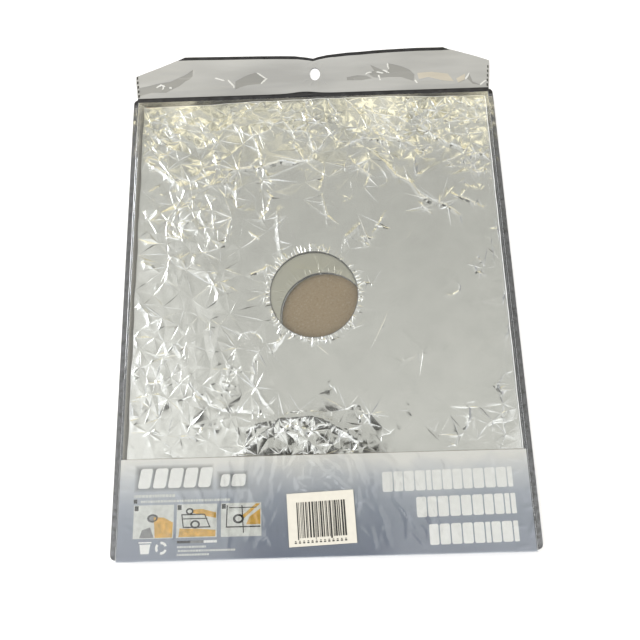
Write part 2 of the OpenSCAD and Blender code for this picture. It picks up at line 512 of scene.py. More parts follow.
def jittered(rng, x0, x1, y0, y1, step):
    """Points of a loose grid inside a rectangle, clear of its edges."""
    xs = np.arange(x0 + step * 0.6, x1 - step * 0.4, step)
    ys = np.arange(y0 + step * 0.6, y1 - step * 0.4, step)
    points = np.stack(np.meshgrid(xs, ys), -1).reshape(-1, 2)
    points = points + rng.uniform(-0.4, 0.4, points.shape) * step
    # nothing uses this draw, but the draws after it depend on it
    rng.random(len(points))
    return points


def planes(points, corners, heights):
    """Heights at points on the flat triangles through corners, each with its own height."""
    spots, triangles = triangulate(corners, [])
    nearest = [int(np.argmin(((corners - s) ** 2).sum(1))) for s in spots]
    solid = [(x, y, heights[i]) for (x, y), i in zip(spots, nearest)]
    tree = BVHTree.FromPolygons(solid, triangles.tolist())
    down = Vector((0, 0, -1))
    hits = [tree.ray_cast(Vector((x, y, 50)), down)[0] for x, y in points]
    return np.array([hit.z if hit else 0.0 for hit in hits])


# Where the top layer is crumpled: middle, reach and strength
CRUMPLED = [
    (-99, 111, 30, 26, 1.1), (-43, 118, 45, 16, 0.9), (73, 111, 50, 26, 1.1),
    (-87, 43, 26, 42, 0.75), (-94, -61, 34, 50, 0.6), (-7, -107, 38, 15, 1.15),
    (123, -13, 6, 110, 0.5), (99, -100, 32, 18, 0.45), (115, 84, 20, 24, 0.75),
    (3, 108, 25, 26, 0.8), (-60, 60, 40, 24, 0.5), (20, 112, 40, 14, 0.7),
]

# The long creases of the top layer, in millimetres, with their height and flank
CREASES = [
    ([(-69, 78), (-53, 79), (-38, 80), (-25, 84), (-14, 82), (0, 85), (7, 81)], 0.34, 1.3),
    ([(-69, 78), (-86, 70), (-96, 67), (-109, 79), (-122, 88)], 0.3, 1.2),
    ([(7, 81), (7, 75), (3, 59)], 0.25, 1.2),
    ([(-46, 110), (-40, 95), (-37, 80), (-31, 66)], 0.24, 1.0),
    ([(-6, 133), (-5, 114), (-2, 99), (0, 85)], 0.3, 1.2),
    ([(-87, 64), (-64, 70)], 0.25, 1.0),
    ([(-72, 94), (-69, 79)], 0.3, 1.4),
    ([(19, 93), (36, 100), (50, 98), (54, 90)], 0.27, 1.0),
    ([(24, 87), (28, 81), (39, 71), (34, 59)], 0.2, 0.9),
    ([(42, 88), (49, 82), (57, 71), (67, 65), (72, 56), (80, 50), (89, 48), (99, 40), (101, 29)],
     0.28, 1.1),
    ([(39, 111), (45, 103), (55, 100), (65, 96), (74, 91)], 0.32, 1.3),
    ([(45, 119), (53, 114), (65, 103)], 0.25, 1.0),
    ([(71, 128), (75, 115), (82, 105), (94, 94), (108, 89), (106, 81), (101, 76)], 0.3, 1.2),
    ([(73, 89), (71, 79), (72, 71), (77, 71)], 0.24, 1.0),
    ([(108, 83), (118, 86), (125, 81)], 0.3, 1.3),
    ([(108, 76), (114, 70), (122, 73)], 0.22, 1.0),
    ([(93, 57), (118, 44)], 0.2, 0.9),
    ([(-27, 49), (-27, 31), (-25, 16), (-21, 11)], 0.36, 1.4),
    ([(-36, 63), (-31, 57), (-34, 46), (-38, 42), (-37, 36)], 0.26, 1.0),
    ([(-83, 46), (-76, 36)], 0.3, 1.3),
    ([(-60, 40), (-63, 26), (-61, 22)], 0.25, 1.0),
    ([(-72, 42), (-71, 30), (-75, 23), (-75, 18)], 0.32, 1.4),
    ([(-78, 8), (-68, -10), (-68, -16), (-59, -7)], 0.3, 1.3),
    ([(-47, 0), (-32, 7)], 0.22, 0.9),
    ([(-122, 13), (-108, 5)], 0.25, 1.1),
    ([(-122, -17), (-115, -24), (-113, -35)], 0.28, 1.2),
    ([(4, 59), (7, 44), (8, 32)], 0.22, 0.9),
    ([(19, 16), (20, 25), (31, 36)], 0.32, 1.4),
    ([(32, 27), (34, 18)], 0.2, 0.9),
    ([(49, 44), (38, 26)], 0.2, 0.9),
    ([(-22, -40), (-33, -53)], 0.3, 1.2),
    ([(-39, -48), (-43, -59)], 0.25, 1.2),
    ([(-45, -60), (-43, -65), (-44, -72), (-37, -83), (-29, -94)], 0.34, 1.3),
    ([(-96, -45), (-91, -54)], 0.3, 1.2),
    ([(-57, -57), (-65, -71), (-54, -74)], 0.3, 1.3),
    ([(-83, -75), (-71, -87), (-60, -91), (-39, -92)], -0.3, 1.3),
    ([(-106, -79), (-105, -96)], -0.25, 1.0),
    ([(-83, -99), (-69, -100), (-66, -94)], -0.35, 1.2),
    ([(-58, -101), (-29, -95), (-5, -94), (5, -98), (23, -110)], 0.5, 2.2),
    ([(-61, -117), (-53, -115), (-42, -107), (-29, -96)], 0.4, 1.8),
    ([(-17, -95), (-11, -107), (-1, -117)], 0.4, 1.8),
    ([(105, 5), (107, -1), (114, -5)], 0.2, 0.9),
    ([(109, 9), (113, 2)], 0.2, 0.9),
    ([(94, -89), (94, -97), (90, -106)], 0.25, 1.1),
    ([(112, -77), (117, -85)], 0.3, 1.2),
]


def crumple_at(points):
    """How crumpled the top layer is, from about 0.1 to 1.2."""
    total = np.full(len(points), 0.07)
    for x, y, reach_x, reach_y, strength in CRUMPLED:
        away = ((points[:, 0] - x) / reach_x) ** 2 + ((points[:, 1] - y) / reach_y) ** 2
        total = np.maximum(total, strength * np.exp(-away))
    return total


def even(level):
    """A crumple field that is the same everywhere."""
    return lambda points: np.full(len(points), level)


def random_creases(rng, count, strength_at, box):
    """Short jagged creases, more of them where strength_at is high."""
    creases = []
    while len(creases) < count:
        start = np.array([rng.uniform(box.x0 + 2, box.x1 - 2), rng.uniform(box.y0 + 2, box.y1 - 2)])
        if rng.random() > strength_at(start[None])[0]:
            continue
        heading = rng.uniform(0, math.pi)
        line = [start]
        for _ in range(rng.integers(2, 8)):
            heading += rng.normal(0, 0.6)
            line.append(line[-1] + rng.uniform(1.5, 5.0) * heading_step(heading))
        line = np.clip(np.array(line), [box.x0 + 1, box.y0 + 1], [box.x1 - 1, box.y1 - 1])
        height = rng.uniform(0.07, 0.24) * rng.choice([1, 1, -1])
        creases.append((line, height, rng.uniform(0.5, 1.0)))
    return creases


def crushed(points, seed):
    """Crests of crushed foil at three scales, and upright folds in the left third."""
    rise = 0.5 * folded(points, seed + 10, 26, 4.0)
    rise += 0.22 * folded(points, seed + 20, 13, 2.5)
    rise += 0.05 * folded(points, seed + 30, 7, 1.2)
    left = np.exp(-(((points[:, 0] + 84) / 34) ** 2)) * smoothstep(-points[:, 1], -95, -55)
    return rise + 0.9 * left * folded(points, seed + 40, 14, 3.5, (1, 0.4)) - 0.3


def hole_creases(rng, centre, count):
    """Fine creases that run out from a burner hole."""
    creases = []
    for i in range(count):
        angle = 2 * math.pi * (i + rng.uniform(-0.35, 0.35)) / count
        out = heading_step(angle)
        across = np.array([-out[1], out[0]])
        length = rng.uniform(2.5, 7.0)
        start = np.asarray(centre) + out * (BURNER_R + 0.3)
        middle = start + out * length * 0.5 + across * rng.uniform(-0.5, 0.5)
        end = start + out * length + across * rng.uniform(-1.6, 1.6)
        creases.append(([start - out * 2.5, middle, end], rng.uniform(0.08, 0.2), 0.6))
    return creases


# How far the sheet's top edge lies above its CAD place, at places in X
TOP_EDGE = (
    [-118, -82, -46, -11, 25, 61, 97, 125],
    [-2, -1.4, 0.1, 0.8, 1.1, 0.8, -0.5, -0.9],
)


def settle(points, box):
    """The folded sheet's real outline: its top edge sags and rises, its left edge wanders."""
    x, y = points[:, 0].copy(), points[:, 1].copy()
    sag = np.interp(x, *TOP_EDGE)
    sag += 0.16 * np.sin(x / 3.7) + 0.14 * np.sin(x / 8.3 + 1)
    wander = 0.3 + 0.25 * np.sin(y / 9.0) + 0.18 * np.sin(y / 3.9 + 2)
    y += sag * smoothstep(y, box.y1 - 14, box.y1)
    x += wander * smoothstep(-x, -box.x0 - 8, -box.x0)
    return np.column_stack([x, y])


def crease_lines(creases, rng, box):
    """Each crease with its small jogs, kept inside the quarter."""
    lines = []
    for line, height, width in creases:
        line = wiggle(line, rng, 1.6, 0.22 if width < 1 else 0.42)
        line = np.clip(line, [box.x0 + 0.4, box.y0 + 0.4], [box.x1 - 0.4, box.y1 - 0.4])
        lines.append((line, height, width))
    return lines


def foil_corners(rng, box, spacing, crumple):
    """Corners of the flat facets, close together where the foil is crumpled."""
    wide, tall = np.array([1.35, 0.78]), np.array([0.8, 1.35])
    corners = []
    for stretch, upright in ((wide, False), (tall, True)):
        low = np.array([box.x0, box.y0]) / stretch
        high = np.array([box.x1, box.y1]) / stretch
        some = jittered(rng, low[0], high[0], low[1], high[1], spacing) * stretch
        corners.append(some[((some[:, 0] < -40) & (some[:, 1] < 78)) == upright])
    corners = np.concatenate(corners)
    corners = corners[rng.random(len(corners)) < 0.16 + 0.9 * crumple(corners)]
    edge = 2.2 * spacing
    along_y = np.arange(box.y0 + edge, box.y1 - edge / 2, edge)
    along_x = np.arange(box.x0 + edge, box.x1 - edge / 2, edge)
    rim = [(x, y) for x in (box.x0, box.x1) for y in (box.y0, *along_y, box.y1)]
    rim += [(x, y) for y in (box.y0, box.y1) for x in along_x]
    return np.concatenate([corners, rim])


def neighbours(facets):
    """The corners that share a facet's edge with each corner."""
    beside = {}
    for a, b, c in facets.tolist():
        for i, j in ((a, b), (b, c), (c, a)):
            beside.setdefault(i, set()).add(j)
            beside.setdefault(j, set()).add(i)
    return beside


def walk(rng, corners, beside, here, longest):
    """A few steps from corner to corner, as straight as the facets' edges allow."""
    way = rng.normal(0, 1, 2)
    line = [corners[here]]
    for _ in range(rng.integers(2, 7)):
        ahead = sorted(beside.get(here, ()))
        if not ahead:
            break
        steps = corners[ahead] - corners[here]
        lengths = np.maximum(np.linalg.norm(steps, axis=1), 1e-6)
        best = int(np.argmax(steps @ way / lengths / np.linalg.norm(way) - 0.04 * lengths))
        if lengths[best] > longest:
            break
        here, way = ahead[best], steps[best]
        line.append(corners[here])
    return line


def facet_walks(rng, corners, facets, crumple, count):
    """Thin crests that follow the facets' edges for a few steps."""
    beside = neighbours(facets)
    strength = crumple(corners)
    walks = []
    for _ in range(20 * count):
        if len(walks) == count:
            break
        here = int(rng.integers(len(corners)))
        if rng.random() > strength[here]:
            continue
        line = walk(rng, corners, beside, here, 11)
        if len(line) < 3:
            continue
        height = rng.uniform(0.06, 0.17) * rng.choice([1, 1, 1, -1])
        walks.append((np.array(line), height, rng.uniform(0.5, 0.9)))
    return walks


def standing_folds(rng):
    """Soft folds that run up the left third of the top layer."""
    folds = []
    for _ in range(95):
        start = np.array([rng.uniform(-122, -48), rng.uniform(-112, 62)])
        heading = math.pi / 2 + rng.normal(0.1, 0.35)
        line = [start]
        for _ in range(rng.integers(2, 6)):
            heading += rng.normal(0, 0.35)
            line.append(line[-1] + rng.uniform(4, 9) * heading_step(heading))
        line = np.clip(np.array(line), [-123, -116], [-40, 75])
        folds.append((line, rng.uniform(0.2, 0.45), rng.uniform(1.8, 3.6)))
    return folds


def outline_of(box, step):
    """A box's edge as a closed row of points, about step apart."""
    wide, tall = box.x1 - box.x0, box.y1 - box.y0
    nx, ny = int(wide / step), int(tall / step)
    return (
        [(box.x0 + wide * i / nx, box.y0) for i in range(nx)]
        + [(box.x1, box.y0 + tall * i / ny) for i in range(ny)]
        + [(box.x1 - wide * i / nx, box.y1) for i in range(nx)]
        + [(box.x0, box.y1 - tall * i / ny) for i in range(ny)]
    )


# Width of the pressed lip round a burner hole
LIP_W = 0.5

# How far a layer may rise or sink from its middle, and how far the top one may rise
ROOM = 0.42
TOP_ROOM = 0.95


class Quarter:
    """One quarter of the folded sheet: flat facets, sharp creases and a burner hole."""

    def __init__(self, name, number, hole, seed, sides, spacing, fine, creases, crumple, folds=()):
        self.name = name
        self.number = number
        self.box = LAYERS[number - 1]
        self.hole = np.asarray(hole)
        self.seed = seed
        self.sides = sides
        self.crumple = crumple
        self.folds = folds
        rng = np.random.default_rng(seed)
        self.corners = foil_corners(rng, self.box, spacing, crumple)
        jitter = 0.45 * np.clip(rng.normal(0, 1, len(self.corners)), -1.8, 1.8)
        sway = 0.9 * waves(self.corners, seed + 50, 17)
        self.heights = (jitter + sway) * (0.012 + 0.24 * crumple(self.corners))
        _, facets = triangulate(self.corners, [])
        walks = facet_walks(rng, self.corners, facets, crumple, 110 if number == 1 else 20)
        self.lines = crease_lines(creases + walks, rng, self.box)
        drawing = self.draw(rng, facets, fine)
        self.flat, triangles = triangulate(drawing.points, drawing.edges)
        self.triangles = triangles[self.from_hole(self.flat[triangles].mean(1)) > -0.001 * BURNER_R]
        self.build(self.relief(rng))

    def from_hole(self, points):
        """How far points lie outside the hole's edge."""
        return np.linalg.norm(points - self.hole, axis=1) - BURNER_R

    def draw(self, rng, facets, fine):
        """The quarter's edge, hole, crests and facets, and loose points between them."""
        box, drawing = self.box, Drawing()
        drawing.add_line(outline_of(box, 2.5), closed=True)
        around = np.linspace(0, 2 * math.pi, 181)[:-1]
        ring = np.stack([np.cos(around), np.sin(around)], 1)
        for radius in (BURNER_R, BURNER_R + LIP_W):
            drawing.add_line(self.hole + ring * radius, closed=True)
        low, high = [box.x0 + 0.3, box.y0 + 0.3], [box.x1 - 0.3, box.y1 - 0.3]
        for line, _, width in self.lines:
            aside = sideways(line)
            drawing.add_line(line)
            for sign in (-1, 1):
                foot = line + sign * aside * width
                fits = ((foot > low) & (foot < high)).all(1)
                drawing.points.extend(foot[fits].tolist())
        start = len(drawing.points)
        drawing.points.extend(self.corners.tolist())
        known = {(min(a, b), max(a, b)) for f in facets.tolist() for a, b in zip(f, f[1:] + f[:1])}
        drawing.edges.extend((start + a, start + b) for a, b in sorted(known))
        free = jittered(rng, box.x0, box.x1, box.y0, box.y1, fine)
        free = free[rng.random(len(free)) < 0.3 + self.crumple(free)]
        drawing.points.extend(free.tolist())
        return drawing

    def relief(self, rng):
        """How far each point lies above the layer's middle, kept between its neighbours."""
        flat, box, crumple = self.flat, self.box, self.crumple(self.flat)
        rise = planes(flat, self.corners, self.heights)
        rise += 0.1 * waves(flat, self.seed + 1, 70)
        rise += 0.01 * crumple * rng.normal(0, 1, len(flat))
        rise += crumple * crushed(flat, self.seed)
        # each crease is a sharp crest on a wide, low swell
        for line, height, width in self.lines:
            rise += 1.7 * height * ridge(flat, line, 0.85 * width)
            rise += 0.25 * height * ridge(flat, line, 6 * width, 1.0)
        for line, height, width in self.folds:
            rise += height * ridge(flat, line, width, 0.6)
        rise -= 0.25 * np.clip(1 - self.from_hole(flat) / LIP_W, 0, 1)
        edge = np.minimum(np.minimum(flat[:, 0] - box.x0, box.x1 - flat[:, 0]), box.y1 - flat[:, 1])
        rise *= 0.35 + 0.65 * smoothstep(edge, 0, 2.5)
        rise *= 0.35 + 0.65 * smoothstep(flat[:, 1], FLAP_TOP_Y - 4, FLAP_TOP_Y + 6)
        room = np.where(rise > 0, TOP_ROOM if self.number == 1 else ROOM, ROOM)
        return room * np.tanh(rise / room)

    def build(self, rise):
        top = np.column_stack([settle(self.flat, self.box), self.box.cz + rise])
        verts, faces, kinds = shell(top, self.triangles.tolist(), FOIL_T)
        # top faces within 0.35 mm of the hole's edge take the dark painted shade of the cut edge, as the
        # rims do
        lip = self.from_hole(self.flat[self.triangles].mean(1)) < 0.35
        kinds = np.array(kinds)
        kinds[: len(lip)][lip] = 2
        piece = make_object(self.name, verts, faces, [*self.sides, FOIL_EDGE_SHADE], kinds, 12)
        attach(piece, "foil")
        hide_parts(f"foil_layer_{self.number}")


def make_foil():
    """The sheet's quarters from the top, each with less detail than the one above it."""
    rng = np.random.default_rng(41)
    up, down = (SHINY, MATTE), (MATTE, SHINY)
    creases = [(line, 1.35 * height, 1.5 * width) for line, height, width in CREASES]
    creases += random_creases(rng, 150, crumple_at, FOIL)
    creases += hole_creases(rng, BURNER, 84)
    Quarter("foil_top_quarter", 1, BURNER, 5, up, 5.6, 1.9, creases, crumple_at, standing_folds(rng))
    creases = random_creases(rng, 60, even(0.5), FOIL) + hole_creases(rng, BURNER_LOWER, 60)
    Quarter("foil_second_quarter", 2, BURNER_LOWER, 6, down, 9, 5, creases, even(0.2))
    third_hole = (BURNER_LOWER[0] + 0.8, BURNER_LOWER[1] - 0.5)
    creases = random_creases(rng, 40, even(0.5), FOIL)
    Quarter("foil_third_quarter", 3, third_hole, 9, up, 12, 7, creases, even(0.2))
    bottom_hole = (BURNER[0] + 1, BURNER[1] - 1)
    creases = random_creases(rng, 40, even(0.5), FOIL)
    Quarter("foil_bottom_quarter", 4, bottom_hole, 10, down, 12, 7, creases, even(0.2))


def fold_strip(name, node, along, upper, lower, outer_side, inner_side):
    """Half-round bend down an edge of the sheet, joining two layers given by their heights."""
    ends, edge, seed = (FOIL.x0, FOIL.x1), FOIL.y1, 3
    if along == "y":
        ends, edge, seed = (FOIL.y0, FOIL.y1), FOIL.x1, 4
    rng = np.random.default_rng(seed)
    arc = 9
    middle = (upper + lower) / 2
    radius = (upper - lower) / 2
    places = np.linspace(*ends, 120)
    phase = rng.uniform(0, 6.28, 3)
    dent = 0.12 * np.sin(places / 3.1 + phase[0]) + 0.1 * np.sin(places / 7.7 + phase[1])
    axes = [0, 1, 2] if along == "x" else [1, 0, 2]
    verts = []
    for place, d in zip(places, dent):
        for j in range(arc):
            angle = math.pi / 2 - math.pi * j / (arc - 1)
            reach = radius * (1 + 0.5 * d * math.cos(angle))
            verts.append((place, edge + reach * math.cos(angle), middle + radius * math.sin(angle)))
    top = np.array(verts)[:, axes]
    top[:, :2] = settle(top[:, :2], FOIL)
    centres = np.column_stack([places, np.full(len(places), edge)])[:, axes[:2]]
    centres = np.repeat(settle(centres, FOIL), arc, axis=0)
    faces = grid_faces(len(places), arc)
    inward = np.column_stack([centres, np.full(len(top), middle)]) - top
    inward[:, axes[0]] = 0
    inward = inward / np.maximum(np.linalg.norm(inward, axis=1, keepdims=True), 1e-9)
    if along == "x":
        faces = [tuple(reversed(f)) for f in faces]
    verts, faces, sides = shell(top, faces, 0, under=top + inward * FOIL_T)
    # the bend's rims take the foil's dark painted edge shade
    piece = make_object(name, verts, faces, [outer_side, inner_side, FOIL_EDGE_SHADE], sides, 40)
    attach(piece, "foil")
    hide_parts(node)


def make_folds():
    """The sheet's bends: two along the top edge and two down the right edge."""
    one, two, three, four = (box.cz for box in LAYERS)
    for name, node, along, upper, lower, outer, inner in (
        ("foil_end_bend_upper", "foil_end_fold_upper", "x", one, two, SHINY, MATTE),
        ("foil_end_bend_lower", "foil_end_fold_lower", "x", three, four, SHINY, MATTE),
        ("foil_side_bend_inner", "foil_side_fold_inner", "y", two, three, MATTE, SHINY),
        ("foil_side_bend_outer", "foil_side_fold_outer", "y", one, four, SHINY, MATTE),
    ):
        fold_strip(name, node, along, upper, lower, outer, inner)


# ---------------------------------------------------------------- board and print

BACK_ROWS = 60
FLAP_ROWS = 24
BEND_R = 1.4


def board_profile():
    """The outside of the board's U in Y and Z, from the back's top edge, with inward normals."""
    low, high, end = CARD.z0, CARD.z1, CARD.y0
    angles = [math.pi / 2 * i / 6 for i in range(1, 6)]
    line = [((y, low), (0, 1)) for y in np.linspace(CARD.y1, end + BEND_R, BACK_ROWS)]
    for a in angles:
        place = (end + BEND_R - BEND_R * math.sin(a), low + BEND_R - BEND_R * math.cos(a))
        line.append((place, (math.sin(a), math.cos(a))))
    line += [((end, z), (1, 0)) for z in np.linspace(low + BEND_R, high - BEND_R, 5)]
    for a in angles:
        place = (end + BEND_R - BEND_R * math.cos(a), high - BEND_R + BEND_R * math.sin(a))
        line.append((place, (math.cos(a), -math.sin(a))))
    line += [((y, high), (0, -1)) for y in np.linspace(end + BEND_R, end + FLAP_H, FLAP_ROWS)]
    return line


def make_board():
    """The printed board, folded up round the bottom, with its back's left edge curled up."""
    profile = board_profile()
    curled = np.linspace(CARD.x0, CARD.x0 + 3.6, 7)[:-1]
    columns = np.concatenate([curled, np.linspace(CARD.x0 + 3.6, CARD.x1, 84)])
    outer, inner = [], []
    for step, ((y, z), (ny, nz)) in enumerate(profile):
        curl = 3.2 * smoothstep(y, CARD.y0, CARD.y0 + 25) if step < BACK_ROWS else 0.0
        for x in columns:
            up = z + curl * smoothstep(-x, -CARD.x0 - 3.0, -CARD.x0)
            outer.append((x, y, up))
            inner.append((x, y + ny * BOARD_T, up + nz * BOARD_T))
    faces = grid_faces(len(profile), len(columns))
    verts, faces, sides = shell(np.array(outer), faces, 0, under=np.array(inner))
    # inner faces near the left edge take the lighter, greyer board colour: a painted reflection of the
    # film's glare
    sides = [
        2 if side == 1 and min(verts[i][0] for i in face) < CARD.x0 + 3.0 else side
        for side, face in zip(sides, faces)
    ]
    piece = make_object("insert_board", verts, faces, [PRINTED, KRAFT, BOARD_EDGE_AND_GLARE], sides, 50)
    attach(piece, "card")
    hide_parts("insert_card")


def print_piece(name, shapes, material, z=CARD.z1, rise=0.02, body="card"):
    """Flat printed shapes as one thin piece. A shape is a list of corners, anticlockwise."""
    verts, faces = [], []
    for shape in shapes:
        start, n = len(verts), len(shape)
        verts += [(x, y, z + rise) for x, y in shape] + [(x, y, z + 0.003) for x, y in shape]
        faces.append(tuple(start + i for i in range(n)))
        faces.append(tuple(start + n + i for i in reversed(range(n))))
        for i in range(n):
            j = (i + 1) % n
            faces.append((start + i, start + n + i, start + n + j, start + j))
    piece = make_object(name, verts, faces, [material], None, 30)
    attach(piece, body)


def rect(x0, y0, x1, y1, lean=0.0):
    """Corners of a rectangle whose top is shifted by lean."""
    return [(x0, y0), (x1, y0), (x1 + lean, y1), (x0 + lean, y1)]


def rounded(x0, y0, x1, y1, radius, lean=0.0, steps=4):
    """Corners of a rectangle with round corners, whose top is shifted by lean."""
    corners = []
    for cx, cy, turn in (
        (x1 - radius, y0 + radius, -90), (x1 - radius, y1 - radius, 0),
        (x0 + radius, y1 - radius, 90), (x0 + radius, y0 + radius, 180),
    ):
        for i in range(steps + 1):
            a = math.radians(turn + 90 * i / steps)
            x, y = cx + radius * math.cos(a), cy + radius * math.sin(a)
            corners.append((x + lean * (y - y0) / (y1 - y0), y))
    return corners


def ring_shapes(cx, cy, radius, width, start=0, sweep=360, squash=1.0):
    """A ring or part of one, as short blocks."""
    shapes, steps = [], max(3, int(sweep / 12))
    for i in range(steps):
        a, b = (math.radians(start + sweep * k / steps) for k in (i, i + 1))
        shapes.append([
            (cx + r * math.cos(angle), cy + squash * r * math.sin(angle))
            for r, angle in ((radius, a), (radius + width, a), (radius + width, b), (radius, b))
        ])
    return shapes


def disc(cx, cy, radius, squash=1.0):
    turn = [2 * math.pi * i / 20 for i in range(20)]
    return [(cx + radius * math.cos(a), cy + squash * radius * math.sin(a)) for a in turn]


def greeked_row(rng, x0, x1, y0, height, widths, gap):
    """A line of print turned into plain blocks, from x1 leftwards."""
    shapes, x = [], x1
    while x > x0 + 0.5 * min(widths):
        w = min(rng.choice(widths), x - x0)
        shapes.append(rounded(x - w, y0, x, y0 + height, min(w, height) * 0.18))
        x -= w + gap
    return shapes


# The headings' left and right ends and feet, and how much they rise with X
HEADINGS = ((35.0, 117.2, -141.4), (56.5, 117.8, -156.7), (63.5, 117.8, -172.6))
PRINT_SLOPE = 0.0145

# The three picture tiles
TILE_LEFTS = (-118.0, -91.3, -63.9)
TILE_W = 24.9
TILE_LOW = -164.8
TILE_HIGH = -145.4


def make_headings_and_lines():
    """Plain blocks in place of letters, and short bars in place of fine print."""
    rng = np.random.default_rng(12)
    size_row = [
        rounded(x, SIZE_ROW_Y, x + w, SIZE_ROW_Y + h, 1.6, lean=h * 0.16)
        for x, w, h in SIZE_BLOCKS
    ]
    print_piece("print_size_blocks", size_row, WHITE_INK)
    headings = []
    for left, right, bottom in HEADINGS:
        row = greeked_row(rng, left, right, bottom, 11.9, [5.6, 6.2, 3.0, 6.4], 0.75)
        headings += [[(x, y + PRINT_SLOPE * (x - left)) for x, y in block] for block in row]
    print_piece("print_heading_blocks", headings, WHITE_INK)
    lines = greeked_row(rng, -118.3, -92.7, -140.9, 1.7, [1.0, 1.4, 1.8], 0.4)
    lines += greeked_row(rng, -114.6, -58.4, -144.0, 1.4, [0.9, 1.2, 1.6], 0.35)
    for i, right in enumerate((-73.0, -55.1, -71.0)):
        lines += greeked_row(rng, -90.6, right, -170.6 - 2.2 * i, 1.2, [0.8, 1.1, 1.4], 0.3)
    print_piece("print_small_lines", lines, PALE_INK)


def first_picture(x, low, high):
    """A round dial on a grey stand, and a hand: the black, grey and orange shapes."""
    black = ring_shapes(x + 11.9, low + 11.8, 2.2, 0.9, squash=0.7)
    grey = [
        disc(x + 11.9, low + 11.6, 3.6, 0.7),
        [(x + 4, low + 0.4), (x + 13, low + 0.4), (x + 10.5, low + 6.5), (x + 5.5, low + 5)],
    ]
    orange = [[
        (x + 13.5, low + 0.4), (x + 24.1, low + 0.4), (x + 24.5, low + 9), (x + 18.9, low + 12),
        (x + 12.5, low + 12.4), (x + 13, low + 7),
    ]]
    return black, grey, orange


def second_picture(x, low, high):
    """A frame with two rings, and two hands."""
    foot, head = low + 5.6, high - 2.4
    black = [
        rect(x + 4, foot, x + 21, foot + 0.7),
        rect(x + 3, head - 4, x + 17, head - 3.3),
        rect(x + 4, foot, x + 4.7, head - 3.4, -1.2),
        rect(x + 20.4, foot, x + 21.1, head - 3.4, -3.6),
        rect(x + 4, foot + 5, x + 19, foot + 5.6),
    ]
    black += ring_shapes(x + 11.5, low + 7.6, 1.8, 1.2, squash=0.8)
    black += ring_shapes(x + 8.0, high - 4.2, 1.4, 1.0, squash=0.8)
    orange = [
        [(x + 1.4, low + 0.5), (x + 24.1, low + 0.5), (x + 24.1, low + 4.2), (x + 14, low + 5.0),
         (x + 2, low + 5.4)],
        [(x + 10, high - 5.2), (x + 24.3, high - 8.4), (x + 24.3, high - 5.2), (x + 16, high - 3.0),
         (x + 10.4, high - 3.2)],
    ]
    return black, [], orange


def third_picture(x, low, high):
    """Crossed bars with a ring, and two hands."""
    black = [
        rect(x + 3, low + 5.2, x + 24.2, low + 5.9),
        rect(x + 3, low + 5.4, x + 3.7, high - 1.2, 0.5),
        rect(x + 13.6, low + 2.0, x + 14.2, high - 1.4, -1.0),
        rect(x + 5, high - 3.0, x + 22, high - 2.5),
    ]
    black += ring_shapes(x + 10.8, low + 10.2, 2.0, 1.4, squash=0.8)
    orange = [
        [(x + 15.5, low + 6.8), (x + 24.3, low + 6.8), (x + 24.3, high - 3.5), (x + 17.5, low + 11.2)],
        [(x + 12, high - 8.2), (x + 21.5, high - 0.6), (x + 24.3, high - 0.6), (x + 14, high - 9.2)],
    ]
    return black, [], orange


def make_print():
    """Generic stand-ins for the flap's print, with simple pictograms."""
    make_headings_and_lines()
    tiles, marks, black, grey, orange = [], [], [], [], []
    for left, picture in zip(TILE_LEFTS, (first_picture, second_picture, third_picture)):
        tiles.append(rect(left, TILE_LOW, left + TILE_W, TILE_HIGH))
        marks.append(rect(left + 0.5, TILE_HIGH - 3.2, left + 2.9, TILE_HIGH - 0.4))
        for shapes, more in zip((black, grey, orange), picture(left, TILE_LOW, TILE_HIGH)):
            shapes += more
    marks.append(rect(-118.3, -144.2, -116.1, -141.9))
    steps = 12
    bar = [
        rect(-90.7 + 24.5 * i / steps, -167.9, -90.7 + 24.5 * (i + 0.97) / steps, -166.4)
        for i in range(steps)
    ]
    bin_and_ring = [
        [(-112.8, -173.5), (-107.8, -173.5), (-106.9, -168.0), (-113.7, -168.0)],
        rect(-114.3, -167.4, -106.3, -166.6),
    ]
    for start in (20, 140, 260):
        bin_and_ring += ring_shapes(-100.3, -170.3, 2.2, 1.5, start, 80)
    for name, shapes, ink, rise in (
        ("print_tiles", tiles, PALE_INK, 0.02),
        ("print_tile_marks", marks, BLACK_INK, 0.045),
        ("print_tile_grey", grey, GREY_INK, 0.03),
        ("print_tile_orange", orange, ORANGE_INK, 0.035),
        ("print_tile_black", black, BLACK_INK, 0.04),
        ("print_bar_dark", bar[:4], BLACK_INK, 0.02),
        ("print_bar_grey", bar[4:8], GREY_INK, 0.02),
        ("print_bar_pale", bar[8:], WHITE_INK, 0.02),
        ("print_icons", bin_and_ring, WHITE_INK, 0.02),
    ):
        print_piece(name, shapes, ink, rise=rise)


# ---------------------------------------------------------------- films

